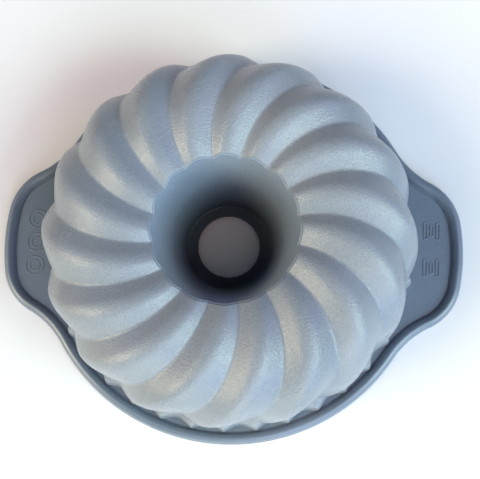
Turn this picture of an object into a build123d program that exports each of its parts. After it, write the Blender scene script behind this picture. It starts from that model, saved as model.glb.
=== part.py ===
from build123d import *
import os
from math import cos, hypot, pi, radians, sin, sqrt, tau

# A swirled, fluted ring-cake mould in flexible silicone, resting crown up on its rim.
# +Z is up, +X runs along the handles, and the origin is the middle of the plane the rim rests on.

# Rim flange and its handles
rim_radius = 130.0
overall_length = 308.6
handle_end_radius = 130.0
handle_corner_radius = 37.0
handle_corner_offset = 15.4
handle_blend_radius = 60.0
flange_bottom = 1.0
flange_top = 3.5
bead_width = 7.6
bead_height = 7.2
bead_top_round = 3.3
bead_foot_round = 1.8

# Reinforcing wire, moulded into the bead
wire_radius = 1.5
wire_clearance = 0.05
wire_height = 3.5

# Fluted body
wall = 2.4
body_height = 80.0
flute_count = 16
flute_phase = 12.2
foot_level = 16.0
foot_radius = 112.0
shoulder_radius = 102.6
shoulder_level = 61.5
crown_radius = 76.0
flute_depth_foot = 5.0
flute_depth_crown = 6.2
flute_depth_ring = 1.2
swirl_at_wall = 22.0
swirl_at_foot = 28.0
swirl_power = 1.4
ridge_place_ring = 0.36
ridge_place_foot = 0.71

# Scalloped skirt, between the flange and the fluted body
scallop_count = 36
scallop_phase = 0.9
skirt_tip_radius = 122.4
skirt_rise_inset = 2.9
scallop_depth = 4.6
skirt_bore_foot = 115.0
skirt_bore_top = 110.9

# Centre tube: a funnel that narrows down to a stepped ledge around the open hole
ring_radius = 43.0
ring_level = 69.5
mouth_radius = 30.0
mouth_level = 66.0
tube_join_level = 58.0
ledge_radius = 27.9
ledge_level = 5.6
hole_radius = 20.6
tube_foot = 3.2

# Plain raised marks on the handle panels
mark_height = 0.5
mark_line = 0.9
ring_mark_radius = 6.2
ring_mark_place = -131.8
ring_mark_pitch = 16.0
bar_mark_width = 2.4
bar_mark_length = 11.0
bar_mark_corner = 1.0
bar_mark_places = (129.5, 137.5)
bar_mark_pitch = 24.6

tube_slope = (ring_radius - ledge_radius) / (ring_level - ledge_level)
wall_across = wall * hypot(1, tube_slope)

# Stations along the valley line, as shares of its length, and the grid the skin is drawn on
wall_along = 0.26
ring_along = 0.88
surface_rows = 16
surface_columns = 10


def arc_between(centre, radius, start, end):
    """The short arc about a centre that joins two points of its circle."""
    middle = (start + end) * 0.5 - centre
    return ThreePointArc(start, centre + middle.normalized() * radius, end)


def rim_outline(inset):
    """Outline of the rim as a face, its edge moved inwards by inset: two round handle ends on a circle."""
    rim = rim_radius - inset
    end = handle_end_radius - inset
    corner = handle_corner_radius - inset
    blend = handle_blend_radius + inset
    end_centre = Vector(overall_length / 2 - handle_end_radius, 0)
    reach = end - corner
    corner_centre = end_centre + Vector(sqrt(reach**2 - handle_corner_offset**2), handle_corner_offset)
    # the blend's centre is at known distances from the rim's centre and from the corner's centre
    span = corner_centre.length
    along = ((rim + blend) ** 2 - (corner + blend) ** 2 + span**2) / (2 * span)
    across = sqrt((rim + blend) ** 2 - along**2)
    axis = corner_centre.normalized()
    blend_centre = axis * along + Vector(-axis.Y, axis.X) * across

    tip = Vector(overall_length / 2 - inset, 0)
    end_point = end_centre + (corner_centre - end_centre).normalized() * end
    corner_point = corner_centre + (blend_centre - corner_centre).normalized() * corner
    rim_point = blend_centre.normalized() * rim
    side = Vector(0, rim)
    quarter = Curve() + [
        arc_between(end_centre, end, tip, end_point),
        arc_between(corner_centre, corner, end_point, corner_point),
        arc_between(blend_centre, blend, corner_point, rim_point),
        arc_between(Vector(0, 0), rim, rim_point, side),
    ]
    half = quarter + mirror(quarter, Plane.XZ)
    return make_face(half + mirror(half, Plane.YZ))


def wire_run(radius):
    """A round bar of the given radius along the middle of the bead."""
    middle = rim_outline(bead_width / 2).face().outer_wire()
    path = Pos(0, 0, wire_height) * middle
    start = path.edges()[0]
    section = Plane(origin=start @ 0, z_dir=start % 0) * Circle(radius)
    return sweep(section, path=path)


def handle_marks():
    """Plain raised rings on one handle panel, and two pairs of plain raised bars on the other."""
    ring = Circle(ring_mark_radius) - Circle(ring_mark_radius - mark_line)
    bar = RectangleRounded(bar_mark_width, bar_mark_length, bar_mark_corner)
    rings = [Pos(ring_mark_place, row * ring_mark_pitch) * ring for row in (-1, 0, 1)]
    bars = [Pos(x, side * bar_mark_pitch / 2) * bar for x in bar_mark_places for side in (-1, 1)]
    return [Pos(0, 0, flange_top) * extrude(mark, mark_height) for mark in rings + bars]


def rim_flange():
    """Flat flange and handle panels, edged all round by the raised bead that holds the wire."""
    bead = extrude(rim_outline(0) - rim_outline(bead_width), bead_height)
    bead = fillet(bead.edges().group_by(Axis.Z)[-1], bead_top_round)
    bead = fillet(bead.edges().group_by(Axis.Z)[0], bead_foot_round)
    panel = extrude(rim_outline(bead_width / 4) - Circle(skirt_bore_foot), flange_top - flange_bottom)
    flange = bead + Pos(0, 0, flange_bottom) * panel
    flange = flange + handle_marks()
    return flange - wire_run(wire_radius + wire_clearance)


def ridge_fraction(place, rise):
    """Share of the flute's depth at a place across it, 0 to 1, with the ridge at the fraction rise."""
    if place < rise:
        return sin(pi / 2 * place / rise)
    return sin(pi / 2 * (1 - place) / (1 - rise))


# The valley line between two flutes, from the skirt over the crown to the middle of the funnel's mouth
meridian = Spline(
    (foot_radius, foot_level),
    (shoulder_radius, shoulder_level),
    (crown_radius, body_height - flute_depth_crown),
    (ring_radius, ring_level),
    (mouth_radius, mouth_level),
    tangents=[(0, 1), (-1, 0)],
)


def flute_depth(along):
    """Depth of the flutes, deepest over the crown and gone at the middle of the funnel's mouth."""
    edge_depth = flute_depth_foot if along < 0.5 else flute_depth_ring
    depth = edge_depth + (flute_depth_crown - edge_depth) * sin(pi * along)
    past_ring = max(0, (along - ring_along) / (1 - ring_along))
    return depth * (1 - past_ring**2)


def swirl(along):
    """Turn of the flute about Z, in degrees, from none at the ring out over the wall and down to the foot."""
    if along < wall_along:
        return swirl_at_wall + (swirl_at_foot - swirl_at_wall) * (1 - along / wall_along)
    travel = (ring_along - along) / (ring_along - wall_along)
    return swirl_at_wall * max(0, travel) ** swirl_power


def skin_point(along, place, depth):
    """A point of the first flute's skin, or of the surface lying at a depth under it."""
    run = meridian % along
    outward = Vector(run.Y, -run.X)
    ridge_place = ridge_place_foot + (ridge_place_ring - ridge_place_foot) * along
    proud = flute_depth(along) * ridge_fraction(place, ridge_place)
    spot = meridian @ along + outward * (proud - depth)
    angle = radians(flute_phase - swirl(along) - 360 / flute_count * place)
    return Vector(spot.X * cos(angle), spot.X * sin(angle), spot.Y)


def ring_section(along, depth):
    """A closed ring of curves, one for each flute, through one station of the skin."""
    places = [column / surface_columns for column in range(surface_columns + 1)]
    first = Spline([skin_point(along, place, depth) for place in places])
    return Wire([Rot(0, 0, 360 / flute_count * turn) * first for turn in range(flute_count)])


def dome(depth):
    """Everything under the skin at a depth: a fluted dome, with no funnel in it yet."""
    return Solid.make_loft([ring_section(row / surface_rows, depth) for row in range(surface_rows + 1)])


def tube_radius(level):
    """Radius of the funnel's wall at a level."""
    return ledge_radius + tube_slope * (level - ledge_level)


def funnel(growth):
    """The space inside the funnel from the tube's joint up, its wall moved outwards by growth."""
    low = tube_radius(tube_join_level) + growth
    high = tube_radius(body_height) + growth
    rise = body_height - tube_join_level
    return Pos(0, 0, tube_join_level + rise / 2) * Cone(low, high, rise)


def scalloped_outline(tip_radius):
    """A ring of hollow arcs as a face: one full circle of points at tip_radius, joined by dips between."""
    pitch = tau / scallop_count
    steps = [radians(scallop_phase) + pitch / 2 * step for step in range(2 * scallop_count + 1)]
    radii = [tip_radius, tip_radius - scallop_depth] * scallop_count + [tip_radius]
    points = [Vector(radius * cos(step), radius * sin(step)) for radius, step in zip(radii, steps)]
    return make_face([ThreePointArc(*points[i:i + 3]) for i in range(0, 2 * scallop_count, 2)])


def skirt():
    """Scalloped band under the flutes: a ring of hollow arcs that meet in upright outward edges."""
    outlines = [
        Pos(0, 0, flange_top) * scalloped_outline(skirt_tip_radius),
        Pos(0, 0, foot_level) * scalloped_outline(skirt_tip_radius - skirt_rise_inset),
    ]
    band = loft(outlines, ruled=True)
    rise = foot_level - flange_top
    return band - Pos(0, 0, flange_top + rise / 2) * Cone(skirt_bore_foot, skirt_bore_top, rise)


def fluted_mould():
    """The open fluted shell: the dome hollowed out around the funnel, with the skirt at its foot."""
    shell = dome(0) - (dome(wall) - funnel(wall_across)) - funnel(0)
    return shell + skirt()


def centre_tube():
    """Tapered tube that carries the funnel down to the ledge around the open hole."""
    bore = tube_radius(tube_join_level)
    outline = Polyline(
        (bore, tube_join_level),
        (ledge_radius, ledge_level),
        (hole_radius, ledge_level),
        (hole_radius, tube_foot),
        (tube_radius(tube_foot) + wall_across, tube_foot),
        (bore + wall_across, tube_join_level),
        close=True,
    )
    return revolve(Plane.XZ * make_face(outline), Axis.Z)


def save(node, solid):
    """Names a piece and writes its STEP file."""
    solid.label = node
    export_step(solid, f"parts/{node}.step")


os.makedirs("parts", exist_ok=True)
save("fluted_mould", fluted_mould())
save("centre_tube", centre_tube())
save("rim_flange", rim_flange())
save("rim_wire", wire_run(wire_radius))
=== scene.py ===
import bpy
import math
import numpy as np
from mathutils import Matrix, Vector


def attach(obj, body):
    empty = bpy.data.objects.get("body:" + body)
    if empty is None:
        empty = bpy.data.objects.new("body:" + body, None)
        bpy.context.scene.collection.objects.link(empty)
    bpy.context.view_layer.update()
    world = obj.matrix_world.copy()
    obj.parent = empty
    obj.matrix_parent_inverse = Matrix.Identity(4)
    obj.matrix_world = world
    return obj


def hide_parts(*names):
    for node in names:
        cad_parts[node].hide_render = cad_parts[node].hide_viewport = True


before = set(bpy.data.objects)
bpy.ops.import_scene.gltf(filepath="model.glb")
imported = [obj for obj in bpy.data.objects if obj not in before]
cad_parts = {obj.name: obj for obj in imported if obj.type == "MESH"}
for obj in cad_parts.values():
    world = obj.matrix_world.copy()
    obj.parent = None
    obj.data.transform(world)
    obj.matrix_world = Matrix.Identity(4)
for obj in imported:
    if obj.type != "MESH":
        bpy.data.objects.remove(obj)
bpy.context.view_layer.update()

# Shapes are worked out in millimetres and degrees; to_xyz and at_level turn their points into metres.
MM = 0.001

# The fluted skin
FLUTES = 16
FLUTE_PHASE = 12.2
FOOT = (112.0, 16.0)
SHOULDER = (102.6, 61.5)
CROWN = (76.0, 73.8)
RING = (43.0, 69.5)
MOUTH = (30.0, 66.0)
DEPTH_FOOT, DEPTH_CROWN, DEPTH_RING = 5.0, 6.2, 1.2
SWIRL_AT_WALL, SWIRL_AT_FOOT, SWIRL_POWER = 22.0, 28.0, 1.4
WALL_ALONG, RING_ALONG = 0.26, 0.88
RIDGE_FOOT, RIDGE_RING = 0.71, 0.36
RIDGE_ROUND_FOOT, RIDGE_ROUND_RING = 0.2, 0.6
VALLEY_ROUND = 0.07
WALL = 2.4

# The scalloped skirt
SCALLOPS = 36
SCALLOP_PHASE = 0.9
TIP_RADIUS = 122.4
TIP_DRAFT = 0.23
SCALLOP_DEPTH = 4.6
SKIRT_TOP = 15.0
SKIRT_FOOT = 3.5
SKIRT_SHOULDER, SHOULDER_ROUND = 1.3, 1.5
SKIRT_BORE_FOOT, SKIRT_BORE_TOP = 115.0, 110.9
JOIN_ROUND = 0.9
JOIN_TOP = SKIRT_TOP + 12

# Share of the valley line where the inside of the shell starts, above the skirt's bore
INSIDE_START = 0.03

# The funnel and its ledge
LEDGE_RADIUS, LEDGE_LEVEL = 27.9, 5.6
HOLE_RADIUS = 20.6
TUBE_FOOT = 3.2
LEDGE_BLEND_TOP, FOOT_BLEND_TOP = LEDGE_LEVEL + 2.0, TUBE_FOOT + 4.0
LEDGE_ROUND, HOLE_ROUND, FOOT_ROUND = 1.2, 0.7, 1.0
RING_EDGE, RING_EDGE_DROP = 0.005, 0.6
FUNNEL_SLOPE = (RING[0] - LEDGE_RADIUS) / (RING[1] - LEDGE_LEVEL)
WALL_ACROSS = WALL * math.hypot(1, FUNNEL_SLOPE)

# The rim
RIM_RADIUS = 130.0
HALF_LENGTH = 154.3
END_RADIUS = 130.0
CORNER_RADIUS = 37.0
CORNER_OFFSET = 15.4
BLEND_RADIUS = 60.0
FLANGE_BOTTOM, FLANGE_TOP = 1.0, 3.5
BEAD_WIDTH, BEAD_HEIGHT = 7.6, 7.2
GROOVE_REACH = BEAD_WIDTH + 4.0

# Plain raised marks on the handle panels: each line has a width and a height
RING_MARK_CENTRE, RING_MARK_PITCH = (-131.8, -1.3), 16.0
RING_MARK_OUTER, RING_MARK_OUTER_LINE = 6.2, (0.8, 0.45)
RING_MARK_INNER, RING_MARK_INNER_LINE = 3.4, (0.7, 0.35)
BAR_MARKS = ((129.5, 5.5), (133.5, 3.6), (137.5, 5.5))
BAR_MARK_SIDE, BAR_MARK_SHIFT = 12.3, 3.3
BAR_MARK_HALF_WIDTH, BAR_MARK_CORNER = 1.1, 1.0
BAR_MARK_LINE = (0.8, 0.45)
MARK_SINK, MARK_UNDERSIDE = 0.15, -0.3

# How finely the meshes are drawn
COLUMNS = 576
CREST_ROWS, SKIRT_ROWS, BORE_ROWS, INSIDE_ROWS = 96, 20, 8, 44
LIP_ROWS, FUNNEL_ROWS, BACK_ROWS = 7, 30, 16
RIM_STEPS = (14, 34, 26, 46)
PANEL_ROWS, UNDERSIDE_ROWS = 9, 4
MARK_SIDES, RING_MARK_STEPS, CORNER_STEPS = 10, 64, 8


# ---------------------------------------------------------------- shapes

def spline_through(points, start, end, count=1201):
    """A smooth curve through points, with the given end directions, as evenly spaced samples."""
    points = np.array(points, float)
    knots = np.concatenate([[0], np.cumsum(np.hypot(*np.diff(points, axis=0).T))])
    steps = np.diff(knots)
    size = len(points)
    lhs = np.eye(size)
    rhs = np.zeros((size, 2))
    rhs[0], rhs[-1] = start, end
    for i in range(1, size - 1):
        before, after = steps[i - 1], steps[i]
        lhs[i, i - 1:i + 2] = 1 / before, 2 / before + 2 / after, 1 / after
        rhs[i] = 3 * ((points[i] - points[i - 1]) / before**2 + (points[i + 1] - points[i]) / after**2)
    slopes = np.linalg.solve(lhs, rhs)
    fine = np.linspace(0, knots[-1], count * 4)
    span = np.clip(np.searchsorted(knots, fine, side="right") - 1, 0, size - 2)
    step = steps[span][:, None]
    t = ((fine - knots[span]) / steps[span])[:, None]
    curve = (
        points[span] * (1 + 2 * t) * (1 - t) ** 2
        + slopes[span] * step * t * (1 - t) ** 2
        + points[span + 1] * t**2 * (3 - 2 * t)
        + slopes[span + 1] * step * t**2 * (t - 1)
    )
    length = np.concatenate([[0], np.cumsum(np.hypot(*np.diff(curve, axis=0).T))])
    even = np.linspace(0, length[-1], count)
    return np.stack([np.interp(even, length, curve[:, k]) for k in (0, 1)], axis=1)


MERIDIAN = spline_through([FOOT, SHOULDER, CROWN, RING, MOUTH], (0, 1), (-1, 0))


def meridian(along):
    """Radius, height and outward normal of the valley line at a share of its length."""
    share = np.linspace(0, 1, len(MERIDIAN))
    radius = np.interp(along, share, MERIDIAN[:, 0])
    height = np.interp(along, share, MERIDIAN[:, 1])
    tangent = np.gradient(MERIDIAN, axis=0)
    tangent /= np.linalg.norm(tangent, axis=1)[:, None]
    out_r = np.interp(along, share, tangent[:, 1])
    out_z = -np.interp(along, share, tangent[:, 0])
    return radius, height, out_r, out_z


def flute_depth(along):
    """Depth of the flutes, deepest over the crown and gone at the middle of the funnel's mouth."""
    edge = np.where(along < 0.5, DEPTH_FOOT, DEPTH_RING)
    depth = edge + (DEPTH_CROWN - edge) * np.sin(np.pi * along)
    past_ring = np.maximum(0, (along - RING_ALONG) / (1 - RING_ALONG))
    return depth * (1 - past_ring**2)


def swirl(along):
    """Turn of the flutes about Z, from none at the ring out over the wall and down to the foot."""
    travel = np.maximum(0, (RING_ALONG - along) / (RING_ALONG - WALL_ALONG))
    below = SWIRL_AT_WALL + (SWIRL_AT_FOOT - SWIRL_AT_WALL) * (1 - along / WALL_ALONG)
    return np.where(along < WALL_ALONG, below, SWIRL_AT_WALL * travel**SWIRL_POWER)


def ridge_share(place, along):
    """Height across one flute: a tight valley at both sides, a rounded ridge, and flat faces between."""
    ridge = RIDGE_FOOT + (RIDGE_RING - RIDGE_FOOT) * along
    rise = np.where(place < ridge, place / ridge, (1 - place) / (1 - ridge))
    curl = RIDGE_ROUND_FOOT + (RIDGE_ROUND_RING - RIDGE_ROUND_FOOT) * along
    over = np.maximum(0, rise - 1 + curl)
    under = np.maximum(0, VALLEY_ROUND - rise)
    return (rise - over**2 / (2 * curl) + under**2 / (2 * VALLEY_ROUND)) / (1 - curl / 2)


def smooth_max(first, second, size):
    """The larger of two values, with a small round of the given size where they cross."""
    blend = np.maximum(size - np.abs(first - second), 0) / size
    return np.maximum(first, second) + blend**2 * size / 4


def scallop_radius(angle, height):
    """Radius of the skirt: hollow arches that meet in upright edges, with a sloping shoulder on top."""
    place = (np.degrees(angle) - SCALLOP_PHASE) * SCALLOPS / 360
    across = 2 * (place - np.floor(place)) - 1
    hollow = 0.5 * (1 - across**2) + 0.5 * np.cos(np.pi / 2 * across) ** 2
    over = smooth_max(height - SKIRT_TOP, 0 * height, SHOULDER_ROUND)
    tip = TIP_RADIUS - TIP_DRAFT * (height - SKIRT_FOOT)
    return tip - SCALLOP_DEPTH * hollow - SKIRT_SHOULDER * over


def column_places():
    """Place across its flute, 0 to 1, and number of that flute, for every column of the meshes."""
    per_flute = COLUMNS // FLUTES
    column = np.arange(COLUMNS)
    return (column % per_flute) / per_flute, column // per_flute


def to_xyz(radius, height, angle):
    """Points in metres from radii and heights in millimetres."""
    return np.stack([radius * np.cos(angle), radius * np.sin(angle), height + 0 * radius], axis=-1) * MM


def skin(along, depth=0.0):
    """Radius, height and angle of every column of the skin at a share of the valley line."""
    place, flute = column_places()
    along = np.broadcast_to(np.asarray(along, float), place.shape)
    radius, height, out_r, out_z = meridian(along)
    proud = flute_depth(along) * ridge_share(place, along) - depth
    angle = np.radians(FLUTE_PHASE - swirl(along) - 360 / FLUTES * (place + flute))
    return radius + out_r * proud, height + out_z * proud, angle


def funnel_radius(height):
    """Radius of the funnel's wall at a height."""
    return LEDGE_RADIUS + FUNNEL_SLOPE * (height - LEDGE_LEVEL)


def ring_along(depth, growth):
    """Where each column of the skin meets the funnel's wall, moved outwards by growth."""
    stations = np.linspace(0.75, 0.97, 221)
    gaps = []
    for station in stations:
        radius, height, _ = skin(station, depth)
        gaps.append(radius - funnel_radius(height) - growth)
    gaps = np.array(gaps)
    first = np.argmax(gaps < 0, axis=0)
    column = np.arange(COLUMNS)
    before, after = gaps[first - 1, column], gaps[first, column]
    return stations[first - 1] + (stations[first] - stations[first - 1]) * before / (before - after)


# ---------------------------------------------------------------- meshes

def grid_mesh(name, rows):
    """A closed mesh from rows of points, each row a ring, with the last row joined to the first."""
    rows = np.array(rows)
    count, width = rows.shape[:2]
    index = np.arange(count * width).reshape(count, width)
    following = np.roll(index, -1, axis=0)
    corners = [index, np.roll(index, -1, axis=1), np.roll(following, -1, axis=1), following]
    faces = np.stack(corners, axis=-1).reshape(-1, 4)
    mesh = bpy.data.meshes.new(name)
    mesh.from_pydata(rows.reshape(-1, 3).tolist(), [], faces.tolist())
    mesh.polygons.foreach_set("use_smooth", [True] * len(mesh.polygons))
    mesh.update()
    piece = bpy.data.objects.new(name, mesh)
    bpy.context.scene.collection.objects.link(piece)
    return piece


def outward_normals(piece):
    """Turns the faces of a closed piece so that they all look out."""
    bpy.context.view_layer.objects.active = piece
    bpy.ops.object.select_all(action="DESELECT")
    piece.select_set(True)
    bpy.ops.object.mode_set(mode="EDIT")
    bpy.ops.mesh.select_all(action="SELECT")
    bpy.ops.mesh.normals_make_consistent(inside=False)
    bpy.ops.object.mode_set(mode="OBJECT")


def skirted(radius, height, angle):
    """The skin where it runs into the skirt: whichever stands further out, with a small round between."""
    blended = smooth_max(radius, scallop_radius(angle, height), JOIN_ROUND)
    return np.where(height < JOIN_TOP, blended, radius)


def rounded_profile(corners, steps=5):
    """Points of an open outline whose inner corners, given as (x, y, radius), are rounded."""
    points = [np.array(corners[0][:2], float)]
    for before, here, after in zip(corners, corners[1:], corners[2:]):
        corner, size = np.array(here[:2], float), here[2]
        back = np.array(before[:2], float) - corner
        ahead = np.array(after[:2], float) - corner
        back, ahead = back / np.linalg.norm(back), ahead / np.linalg.norm(ahead)
        half = math.acos(np.clip(back @ ahead, -1, 1)) / 2
        reach = size / math.tan(half)
        start, end = corner + back * reach, corner + ahead * reach
        for t in np.linspace(0, 1, steps):
            points.append(start * (1 - t) ** 2 + corner * 2 * t * (1 - t) + end * t**2)
    points.append(np.array(corners[-1][:2], float))
    return points


def mould_rows():
    """The shell, from its ring over the crown to the skirt's foot, and back up along the inside."""
    outer_ring = ring_along(0, 0) - RING_EDGE
    rows = []
    for share in np.linspace(0, 1, CREST_ROWS):
        radius, height, angle = skin(outer_ring * (1 - share))
        rows.append(to_xyz(skirted(radius, height, angle), height, angle))
    foot_radius, _, angle = skin(0.0)
    for height in np.linspace(FOOT[1], SKIRT_FOOT, SKIRT_ROWS)[1:]:
        level = np.full(COLUMNS, height)
        rows.append(to_xyz(skirted(foot_radius, level, angle), level, angle))
    for share in np.linspace(0, 1, BORE_ROWS):
        level = SKIRT_FOOT + (FOOT[1] - SKIRT_FOOT) * share
        bore = SKIRT_BORE_FOOT + (SKIRT_BORE_TOP - SKIRT_BORE_FOOT) * share
        rows.append(to_xyz(np.full(COLUMNS, bore), level, angle))
    inner_ring = ring_along(WALL, WALL_ACROSS)
    for share in np.linspace(INSIDE_START, 1, INSIDE_ROWS):
        radius, height, angle = skin(inner_ring * share, WALL)
        rows.append(to_xyz(radius, height, angle))
    return rows


def lip_rows(ring):
    """The rounded lip that leads from the fluted skin down into the funnel."""
    start_r, start_z, start_angle = skin(ring - RING_EDGE)
    edge_r, edge_z, edge_angle = skin(ring)
    low_z = edge_z - RING_EDGE_DROP
    low_r = funnel_radius(low_z)
    rows = []
    for t in np.linspace(0, 1, LIP_ROWS):
        radius = start_r * (1 - t) ** 2 + edge_r * 2 * t * (1 - t) + low_r * t**2
        height = start_z * (1 - t) ** 2 + edge_z * 2 * t * (1 - t) + low_z * t**2
        turn = start_angle + (edge_angle - start_angle) * min(1, 2 * t)
        rows.append(to_xyz(radius, height, turn))
    return rows, low_z, edge_angle


def ledge_profile():
    """Outline of the tube's lower end: in over the ledge, down through the hole and out underneath."""
    foot = funnel_radius(TUBE_FOOT) + WALL_ACROSS
    return rounded_profile(
        [
            (funnel_radius(LEDGE_BLEND_TOP), LEDGE_BLEND_TOP, 0),
            (LEDGE_RADIUS, LEDGE_LEVEL, LEDGE_ROUND),
            (HOLE_RADIUS, LEDGE_LEVEL, HOLE_ROUND),
            (HOLE_RADIUS, TUBE_FOOT, HOLE_ROUND),
            (foot, TUBE_FOOT, FOOT_ROUND),
            (foot + FUNNEL_SLOPE * (FOOT_BLEND_TOP - TUBE_FOOT), FOOT_BLEND_TOP, 0),
        ]
    )


def tube_rows():
    """The tube, from its lip down the funnel, round the ledge and back up along the outside."""
    rows, low_z, angle = lip_rows(ring_along(0, 0))
    for t in np.linspace(0, 1, FUNNEL_ROWS)[1:]:
        height = low_z + (LEDGE_BLEND_TOP - low_z) * t
        rows.append(to_xyz(funnel_radius(height), height, angle))
    for radius, height in ledge_profile()[1:]:
        rows.append(to_xyz(np.full(COLUMNS, radius), height, angle))
    _, top_z, _ = skin(ring_along(WALL, WALL_ACROSS), WALL)
    for t in np.linspace(0, 1, BACK_ROWS)[1:]:
        height = FOOT_BLEND_TOP + (top_z - FOOT_BLEND_TOP) * t
        rows.append(to_xyz(funnel_radius(height) + WALL_ACROSS, height, angle))
    return rows


# ---------------------------------------------------------------- rim

def arc_points(centre, radius, start, end, count):
    """Points of the short arc about centre from angle start to angle end, the last one left out."""
    turn = (end - start + math.pi) % math.tau - math.pi
    angles = start + turn * np.arange(count) / count
    return np.stack([centre[0] + radius * np.cos(angles), centre[1] + radius * np.sin(angles)], axis=1)


def rim_quarter(inset, counts):
    """A quarter of the rim's outline, moved inwards by inset, from the handle's end to the side."""
    rim, end = RIM_RADIUS - inset, END_RADIUS - inset
    corner, blend = CORNER_RADIUS - inset, BLEND_RADIUS + inset
    end_centre = np.array([HALF_LENGTH - END_RADIUS, 0.0])
    corner_centre = end_centre + [math.sqrt((end - corner) ** 2 - CORNER_OFFSET**2), CORNER_OFFSET]
    span = np.linalg.norm(corner_centre)
    along = ((rim + blend) ** 2 - (corner + blend) ** 2 + span**2) / (2 * span)
    across = math.sqrt((rim + blend) ** 2 - along**2)
    axis = corner_centre / span
    blend_centre = axis * along + np.array([-axis[1], axis[0]]) * across

    def bearing(vector):
        return math.atan2(vector[1], vector[0])

    end_angle = bearing(corner_centre - end_centre)
    corner_angle = bearing(blend_centre - corner_centre)
    rim_angle = bearing(blend_centre)
    return np.concatenate([
        arc_points(end_centre, end, 0, end_angle, counts[0]),
        arc_points(corner_centre, corner, end_angle, corner_angle, counts[1]),
        arc_points(blend_centre, blend, corner_angle + math.pi, rim_angle + math.pi, counts[2]),
        arc_points((0, 0), rim, rim_angle, math.pi / 2, counts[3]),
    ])


def rim_line(inset):
    """The rim's whole outline, moved inwards by inset."""
    quarter = rim_quarter(inset, RIM_STEPS)
    side = np.array([[0.0, RIM_RADIUS - inset]])
    left = np.concatenate([side, quarter[:0:-1]]) * [-1, 1]
    half = np.concatenate([quarter, left])
    return np.concatenate([half, -half])


def bead_profile():
    """Inset and height from the panel, through the groove, round the bead and back under the panel."""
    corners = [
        (GROOVE_REACH, FLANGE_TOP, 0),
        (BEAD_WIDTH + 1.2, FLANGE_TOP - 0.1, 0.8),
        (BEAD_WIDTH + 0.1, FLANGE_TOP - 1.0, 0.5),
        (BEAD_WIDTH - 1.1, BEAD_HEIGHT - 1.5, 1.4),
        (BEAD_WIDTH / 2 + 0.6, BEAD_HEIGHT + 0.35, 2.0),
        (1.6, BEAD_HEIGHT - 0.9, 1.8),
        (0.45, 3.1, 0.5),
        (0.0, 2.6, 0.25),
        (0.0, 0.0, 0.9),
        (BEAD_WIDTH - 1.0, 0.0, 1.6),
        (BEAD_WIDTH - 0.2, FLANGE_BOTTOM, 0.3),
        (GROOVE_REACH, FLANGE_BOTTOM, 0),
    ]
    return rounded_profile(corners, 7)


def at_level(flat, height):
    """Points in metres from flat points in millimetres and one height."""
    return np.column_stack([flat, np.full(len(flat), height)]) * MM


def flange_rows():
    """The panel's top from its opening outwards, the bead, and the panel's underside back inwards."""
    profile = bead_profile()
    top_edge, bottom_edge = rim_line(profile[0][0]), rim_line(profile[-1][0])
    bearing = np.arctan2(top_edge[:, 1], top_edge[:, 0])
    opening = np.stack([np.cos(bearing), np.sin(bearing)], axis=1) * SKIRT_BORE_FOOT
    rows = []
    for t in np.linspace(0, 1, PANEL_ROWS)[:-1]:
        rows.append(at_level(opening + (top_edge - opening) * t, FLANGE_TOP))
    for inset, height in profile:
        rows.append(at_level(rim_line(inset), height))
    for t in np.linspace(0, 1, UNDERSIDE_ROWS)[1:]:
        rows.append(at_level(bottom_edge + (opening - bottom_edge) * t, FLANGE_BOTTOM))
    return rows


# ---------------------------------------------------------------- marks on the handles

def circle_path(radius):
    """A closed circular path."""
    angles = np.linspace(0, math.tau, RING_MARK_STEPS, endpoint=False)
    return np.stack([np.cos(angles), np.sin(angles)], axis=1) * radius


def rounded_loop(half_x, half_y, corner):
    """A closed path round a rectangle with rounded corners."""
    points = []
    for quarter, (sign_x, sign_y) in enumerate(((1, 1), (-1, 1), (-1, -1), (1, -1))):
        centre = np.array([sign_x * (half_x - corner), sign_y * (half_y - corner)])
        for step in np.linspace(0, 1, CORNER_STEPS):
            angle = math.pi / 2 * (quarter + step)
            points.append(centre + np.array([math.cos(angle), math.sin(angle)]) * corner)
    return points


def raised_line(centre, path, line):
    """A low half-round ridge along a closed path on the panel, its edges sunk a little into it."""
    width, height = line
    path = np.array(path) + centre
    tangent = np.roll(path, -1, axis=0) - np.roll(path, 1, axis=0)
    tangent /= np.linalg.norm(tangent, axis=1)[:, None]
    side = np.stack([tangent[:, 1], -tangent[:, 0]], axis=1)
    rows = []
    for turn in np.linspace(0, math.tau, MARK_SIDES, endpoint=False):
        level = FLANGE_TOP - MARK_SINK + (height + MARK_SINK) * max(MARK_UNDERSIDE, math.sin(turn))
        rows.append(at_level(path + side * math.cos(turn) * width / 2, level))
    return grid_mesh("mark", rows)


def handle_marks():
    """Plain raised rings on the left panel, and plain raised bars in two groups on the right one."""
    marks = []
    for row in (-1, 0, 1):
        centre = np.array([RING_MARK_CENTRE[0], RING_MARK_CENTRE[1] + row * RING_MARK_PITCH])
        marks.append(raised_line(centre, circle_path(RING_MARK_OUTER), RING_MARK_OUTER_LINE))
        marks.append(raised_line(centre, circle_path(RING_MARK_INNER), RING_MARK_INNER_LINE))
    for side in (-1, 1):
        for place, half_length in BAR_MARKS:
            centre = np.array([place, side * BAR_MARK_SIDE + BAR_MARK_SHIFT])
            path = rounded_loop(BAR_MARK_HALF_WIDTH, half_length, BAR_MARK_CORNER)
            marks.append(raised_line(centre, path, BAR_MARK_LINE))
    return marks


def joined(pieces, name):
    """One object made of several."""
    bpy.ops.object.select_all(action="DESELECT")
    for piece in pieces:
        piece.select_set(True)
    bpy.context.view_layer.objects.active = pieces[0]
    bpy.ops.object.join()
    pieces[0].name = name
    return pieces[0]


# ---------------------------------------------------------------- materials

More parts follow.
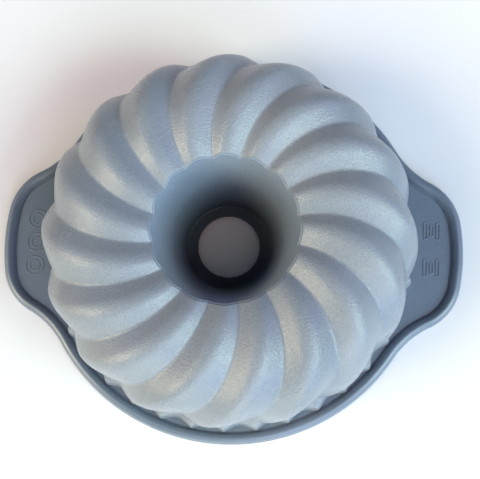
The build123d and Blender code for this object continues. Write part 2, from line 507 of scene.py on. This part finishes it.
# Speckle of the blasted grain, and how far the broad swells stand out, in metres
SPECKLE = [(0.36, (0.88, 0.88, 0.89)), (0.64, (1.04, 1.04, 1.04))]
SWELL_SCALE, SWELL_STRENGTH, SWELL_DEPTH = 35, 0.25, 0.0006
GRAIN_STRENGTH = 0.8
CLOUD_SCALE, WEAR_SCALE = 22, 60

# Painted shade and light on the tube, from its foot, 0, up to its ring, 1: painted shade darkens it
# towards the foot, painted light brightens it towards the ring
TUBE_PAINTED_SHADE = [(0.0, (0.18, 0.22, 0.26)), (0.45, (0.6, 0.62, 0.66)), (1.0, (1.4, 1.4, 1.4))]


def grey(value):
    return (value, value, value)


def new_material(name):
    """A material, its node tree and its shader."""
    material = bpy.data.materials.new(name)
    material.use_nodes = True
    return material, material.node_tree, material.node_tree.nodes["Principled BSDF"]


def noise(tree, coords, scale, detail, roughness):
    """Fractal noise in the object's own coordinates."""
    node = tree.nodes.new("ShaderNodeTexNoise")
    node.inputs["Scale"].default_value = scale
    node.inputs["Detail"].default_value = detail
    node.inputs["Roughness"].default_value = roughness
    tree.links.new(coords.outputs["Object"], node.inputs["Vector"])
    return node.outputs["Fac"]


def ramp(tree, value, stops):
    """A colour picked by a value, between stops of a position and a colour."""
    node = tree.nodes.new("ShaderNodeValToRGB")
    elements = node.color_ramp.elements
    for element, (position, colour) in zip(elements, (stops[0], stops[-1])):
        element.position, element.color = position, (*colour, 1)
    for position, colour in stops[1:-1]:
        elements.new(position).color = (*colour, 1)
    tree.links.new(value, node.inputs["Fac"])
    return node.outputs["Color"]


def bump(tree, value, strength, distance, under=None):
    """A surface direction with a value raised over the surface, or over another bump."""
    node = tree.nodes.new("ShaderNodeBump")
    node.inputs["Strength"].default_value = strength
    node.inputs["Distance"].default_value = distance
    tree.links.new(value, node.inputs["Height"])
    if under is not None:
        tree.links.new(under, node.inputs["Normal"])
    return node.outputs["Normal"]


def multiplied(tree, first, second):
    """The product of two colours."""
    node = tree.nodes.new("ShaderNodeMix")
    node.data_type, node.blend_type = "RGBA", "MULTIPLY"
    node.inputs["Factor"].default_value = 1.0
    colours = [socket for socket in node.inputs if socket.type == "RGBA"]
    tree.links.new(first, colours[0])
    tree.links.new(second, colours[1])
    return [socket for socket in node.outputs if socket.type == "RGBA"][0]


def painted_height_shade(tree, coords, painted_shade):
    """Painted shade and light that follow the height in the tube, from its foot up to the ring."""
    parts = tree.nodes.new("ShaderNodeSeparateXYZ")
    tree.links.new(coords.outputs["Object"], parts.inputs["Vector"])
    height = tree.nodes.new("ShaderNodeMapRange")
    height.inputs["From Min"].default_value = TUBE_FOOT * MM
    height.inputs["From Max"].default_value = RING[1] * MM
    tree.links.new(parts.outputs["Z"], height.inputs["Value"])
    return ramp(tree, height.outputs["Result"], painted_shade)


def silicone(name, dark, light, roughness, grain_scale, grain_depth, sheen, painted_shade=None):
    """Moulded silicone: cloudy colour, a fine blasted grain, roughness that varies with handling, and
    painted shade by height where given.
    """
    material, tree, shader = new_material(name)
    coords = tree.nodes.new("ShaderNodeTexCoord")
    cloud = noise(tree, coords, CLOUD_SCALE, 3, 0.55)
    grain = noise(tree, coords, grain_scale, 2, 0.6)
    wear = noise(tree, coords, WEAR_SCALE, 4, 0.6)
    swell = noise(tree, coords, SWELL_SCALE, 2, 0.5)

    colour = ramp(tree, cloud, [(0.32, dark), (0.68, light)])
    colour = multiplied(tree, colour, ramp(tree, grain, SPECKLE))
    # Painted shade and light by height, where given
    if painted_shade:
        colour = multiplied(tree, colour, painted_height_shade(tree, coords, painted_shade))
    smooth, rough = roughness
    broad = bump(tree, swell, SWELL_STRENGTH, SWELL_DEPTH)
    tree.links.new(colour, shader.inputs["Base Color"])
    tree.links.new(ramp(tree, wear, [(0.3, grey(smooth)), (0.7, grey(rough))]), shader.inputs["Roughness"])
    tree.links.new(bump(tree, grain, GRAIN_STRENGTH, grain_depth, broad), shader.inputs["Normal"])
    shader.inputs["Sheen Weight"].default_value = sheen
    shader.inputs["Sheen Roughness"].default_value = 0.5
    shader.inputs["Specular IOR Level"].default_value = 0.6
    return material


def drawn_steel(name):
    """Bright wire with fine marks from drawing."""
    material, tree, shader = new_material(name)
    coords = tree.nodes.new("ShaderNodeTexCoord")
    streak = noise(tree, coords, 400, 3, 0.7)
    tone = ramp(tree, streak, [(0.3, (0.42, 0.42, 0.43)), (0.7, (0.62, 0.62, 0.63))])
    tree.links.new(tone, shader.inputs["Base Color"])
    tree.links.new(ramp(tree, streak, [(0.3, grey(0.25)), (0.7, grey(0.4))]), shader.inputs["Roughness"])
    tree.links.new(bump(tree, streak, 0.2, 0.0001), shader.inputs["Normal"])
    shader.inputs["Metallic"].default_value = 1.0
    return material


frosted = silicone(
    "frosted_silicone",
    dark=(0.255, 0.29, 0.325),
    light=(0.30, 0.335, 0.37),
    roughness=(0.25, 0.34),
    grain_scale=1000,
    grain_depth=0.00042,
    sheen=0.1,
)
satin_tube = silicone(
    "tube_silicone",
    dark=(0.165, 0.205, 0.245),
    light=(0.195, 0.235, 0.28),
    roughness=(0.4, 0.5),
    grain_scale=1000,
    grain_depth=0.00025,
    sheen=0.1,
    # Painted shade towards the tube's foot and painted light towards its ring
    painted_shade=TUBE_PAINTED_SHADE,
)
satin_rim = silicone(
    "rim_silicone",
    dark=(0.155, 0.197, 0.252),
    light=(0.182, 0.228, 0.288),
    roughness=(0.28, 0.38),
    grain_scale=1300,
    grain_depth=0.0001,
    sheen=0.05,
)
steel = drawn_steel("frame_steel")


# ---------------------------------------------------------------- the pan

def finish_piece(piece, node, material):
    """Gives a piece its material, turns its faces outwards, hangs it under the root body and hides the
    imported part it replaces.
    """
    outward_normals(piece)
    piece.data.materials.clear()
    piece.data.materials.append(material)
    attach(piece, "root")
    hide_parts(node)


mould = grid_mesh("fluted_mould_skin", mould_rows())
finish_piece(mould, "fluted_mould", frosted)

tube = grid_mesh("centre_tube_skin", tube_rows())
finish_piece(tube, "centre_tube", satin_tube)

rim = grid_mesh("rim", flange_rows())
flange = joined([rim, *handle_marks()], "rim_flange_skin")
finish_piece(flange, "rim_flange", satin_rim)

# The wire is drawn by its own CAD node, which only gets a better material
wire_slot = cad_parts["rim_wire"].material_slots[0]
wire_slot.link = "OBJECT"
wire_slot.material = steel


# ---------------------------------------------------------------- floor, light and camera

# Azimuth, elevation and colour of each soft box; the colour carries its strength too
SOFT_LIGHTS = [
    (202.5, 35, (0.57, 0.50, 0.36)),
    (337.5, 35, (0.42, 0.57, 0.54)),
    (292.5, 35, (0.14, 0.17, 0.25)),
    (270, 15, (0.20, 0.22, 0.18)),
    (315, 15, (0.03, 0.05, 0.15)),
    (22.5, 35, (0.09, 0.06, 0.14)),
    (157.5, 35, (0.06, 0.07, 0.12)),
    (300, 60, (0.08, 0.06, 0.06)),
]
LIGHT_SIZE, LIGHT_DISTANCE, LIGHT_POWER = 1.8, 4.0, 212.0
SKY_STRENGTH = 0.01
FLOOR_HALF = 8.0


def pale_floor():
    mesh = bpy.data.meshes.new("floor")
    corners = [(x * FLOOR_HALF, y * FLOOR_HALF, 0) for x, y in ((-1, -1), (1, -1), (1, 1), (-1, 1))]
    mesh.from_pydata(corners, [], [(0, 1, 2, 3)])
    floor = bpy.data.objects.new("floor", mesh)
    bpy.context.scene.collection.objects.link(floor)
    material, _, shader = new_material("pale_floor")
    shader.inputs["Base Color"].default_value = (0.9, 0.9, 0.9, 1)
    shader.inputs["Roughness"].default_value = 0.9
    mesh.materials.append(material)


def soft_box(azimuth, elevation, colour):
    """A large square light that faces the origin."""
    data = bpy.data.lights.new("soft_light", "AREA")
    data.size = LIGHT_SIZE
    data.energy = LIGHT_POWER * max(colour)
    data.color = [part / max(colour) for part in colour]
    lamp = bpy.data.objects.new("soft_light", data)
    a, e = math.radians(azimuth), math.radians(elevation)
    back = Vector((math.cos(a) * math.cos(e), math.sin(a) * math.cos(e), math.sin(e)))
    lamp.location = back * LIGHT_DISTANCE
    lamp.rotation_mode = "QUATERNION"
    lamp.rotation_quaternion = (-back).to_track_quat("-Z", "Y")
    bpy.context.scene.collection.objects.link(lamp)


def dim_sky():
    world = bpy.data.worlds.new("studio")
    world.use_nodes = True
    background = world.node_tree.nodes["Background"]
    background.inputs["Color"].default_value = (1, 1, 1, 1)
    background.inputs["Strength"].default_value = SKY_STRENGTH
    bpy.context.scene.world = world


def camera(azimuth, elevation, roll, distance, target, focal, shift):
    """A camera that looks at target; focal is in units of the picture's width."""
    data = bpy.data.cameras.new("camera")
    data.sensor_width = 36.0
    data.lens = focal * data.sensor_width
    data.shift_x, data.shift_y = shift
    data.clip_start, data.clip_end = 0.01, 20
    cam = bpy.data.objects.new("camera", data)
    a, e, r = math.radians(azimuth), math.radians(elevation), math.radians(roll)
    back = Vector((math.sin(a) * math.cos(e), -math.cos(a) * math.cos(e), math.sin(e)))
    right = Vector((math.cos(a), math.sin(a), 0))
    up = back.cross(right)
    rolled_right = right * math.cos(r) + up * math.sin(r)
    rolled_up = up * math.cos(r) - right * math.sin(r)
    matrix = Matrix((rolled_right, rolled_up, back)).transposed().to_4x4()
    matrix.translation = Vector(target) + back * distance
    cam.matrix_world = matrix
    bpy.context.scene.collection.objects.link(cam)
    bpy.context.scene.camera = cam


pale_floor()
dim_sky()
for azimuth, elevation, colour in SOFT_LIGHTS:
    soft_box(azimuth, elevation, colour)
camera(
    azimuth=29.8,
    elevation=81.8,
    roll=-27.3,
    distance=0.501,
    target=(-0.0148, -0.0173, 0),
    focal=1.546,
    shift=(0.0704, 0.0688),
)
bpy.context.scene.view_settings.view_transform = "Standard"
